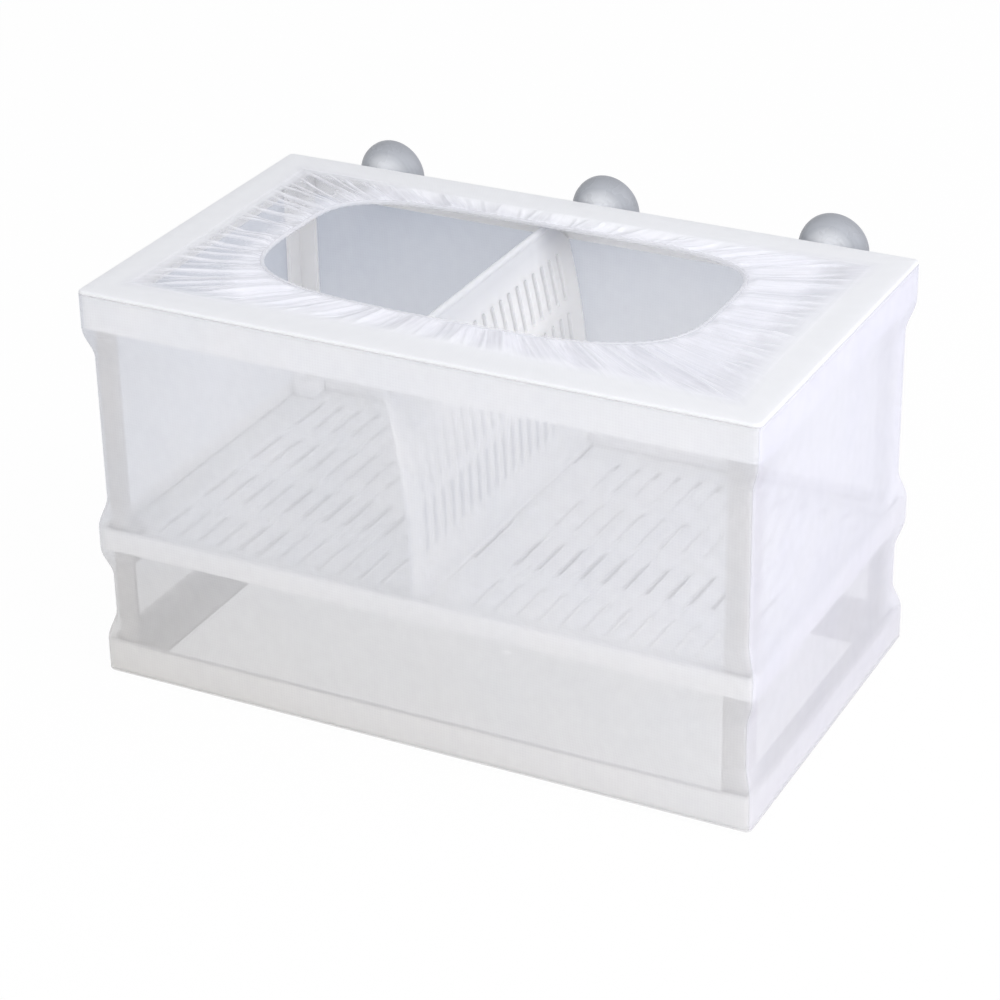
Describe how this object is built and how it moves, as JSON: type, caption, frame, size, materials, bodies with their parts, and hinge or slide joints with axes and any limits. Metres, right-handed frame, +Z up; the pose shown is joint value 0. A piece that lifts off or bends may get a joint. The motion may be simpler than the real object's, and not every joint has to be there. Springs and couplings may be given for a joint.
{
  "type": "net breeding box",
  "caption": "Net breeding box for an aquarium: plastic frame in a net bag with an elastic mouth, slotted floor plates, a leaning slotted divider and suction cups.",
  "frame": {"origin": "centre of the underside of the net bag, where the box rests", "axes": "+X to the right along the long side, +Y to the rear where the suction cups are, +Z up"},
  "size_m": [0.26, 0.16, 0.1627],
  "materials": {
    "frame_plastic": "satin white moulded plastic",
    "plate_plastic": "milky moulded plastic, faintly see-through",
    "divider_plastic": "milky moulded plastic, faintly see-through",
    "net_mesh": "fine white mesh",
    "hem_elastic": "white elastic cord in a sewn hem",
    "cup_vinyl": "clear grey soft vinyl"
  },
  "bodies": {
    "box": {"top_front_bar": "frame_plastic", "top_rear_bar": "frame_plastic", "top_left_bar": "frame_plastic", "top_right_bar": "frame_plastic", "middle_front_bar": "frame_plastic", "middle_rear_bar": "frame_plastic", "middle_left_bar": "frame_plastic", "middle_right_bar": "frame_plastic", "bottom_front_bar": "frame_plastic", "bottom_rear_bar": "frame_plastic", "bottom_left_bar": "frame_plastic", "bottom_right_bar": "frame_plastic", "upper_post_front_left": "frame_plastic", "upper_post_front_right": "frame_plastic", "upper_post_rear_left": "frame_plastic", "upper_post_rear_right": "frame_plastic", "lower_post_front_left": "frame_plastic", "lower_post_front_right": "frame_plastic", "lower_post_rear_left": "frame_plastic", "lower_post_rear_right": "frame_plastic", "net_front": "net_mesh", "net_rear": "net_mesh", "net_left": "net_mesh", "net_right": "net_mesh", "net_bottom": "net_mesh", "collar_front": "net_mesh", "collar_rear": "net_mesh", "collar_left": "net_mesh", "collar_right": "net_mesh", "elastic_hem": "hem_elastic"},
    "divider_panel": {"divider": "divider_plastic"},
    "left_plate": {"left_floor_plate": "plate_plastic"},
    "right_plate": {"right_floor_plate": "plate_plastic"},
    "left_cup": {"suction_cup_left": "cup_vinyl"},
    "middle_cup": {"suction_cup_middle": "cup_vinyl"},
    "right_cup": {"suction_cup_right": "cup_vinyl"}
  },
  "joints": [
    {"name": "divider_rock", "type": "hinge", "parent": "box", "child": "divider_panel", "pos_m": [-0.0005, 0, 0.0561], "axis": [0, 1, 0], "range_deg": [0, 13.2]},
    {"name": "left_plate_lift", "type": "slide", "parent": "box", "child": "left_plate", "axis": [0, 0, 1], "range_m": [0, 0.008]},
    {"name": "right_plate_lift", "type": "slide", "parent": "box", "child": "right_plate", "axis": [0, 0, 1], "range_m": [0, 0.008]},
    {"name": "left_cup_turn", "type": "hinge", "parent": "box", "child": "left_cup", "pos_m": [-0.0895, 0.0734, 0.1492], "axis": [0, 1, 0], "continuous": true},
    {"name": "middle_cup_turn", "type": "hinge", "parent": "box", "child": "middle_cup", "pos_m": [0.002, 0.0734, 0.1492], "axis": [0, 1, 0], "continuous": true},
    {"name": "right_cup_turn", "type": "hinge", "parent": "box", "child": "right_cup", "pos_m": [0.0935, 0.0734, 0.1492], "axis": [0, 1, 0], "continuous": true}
  ]
}
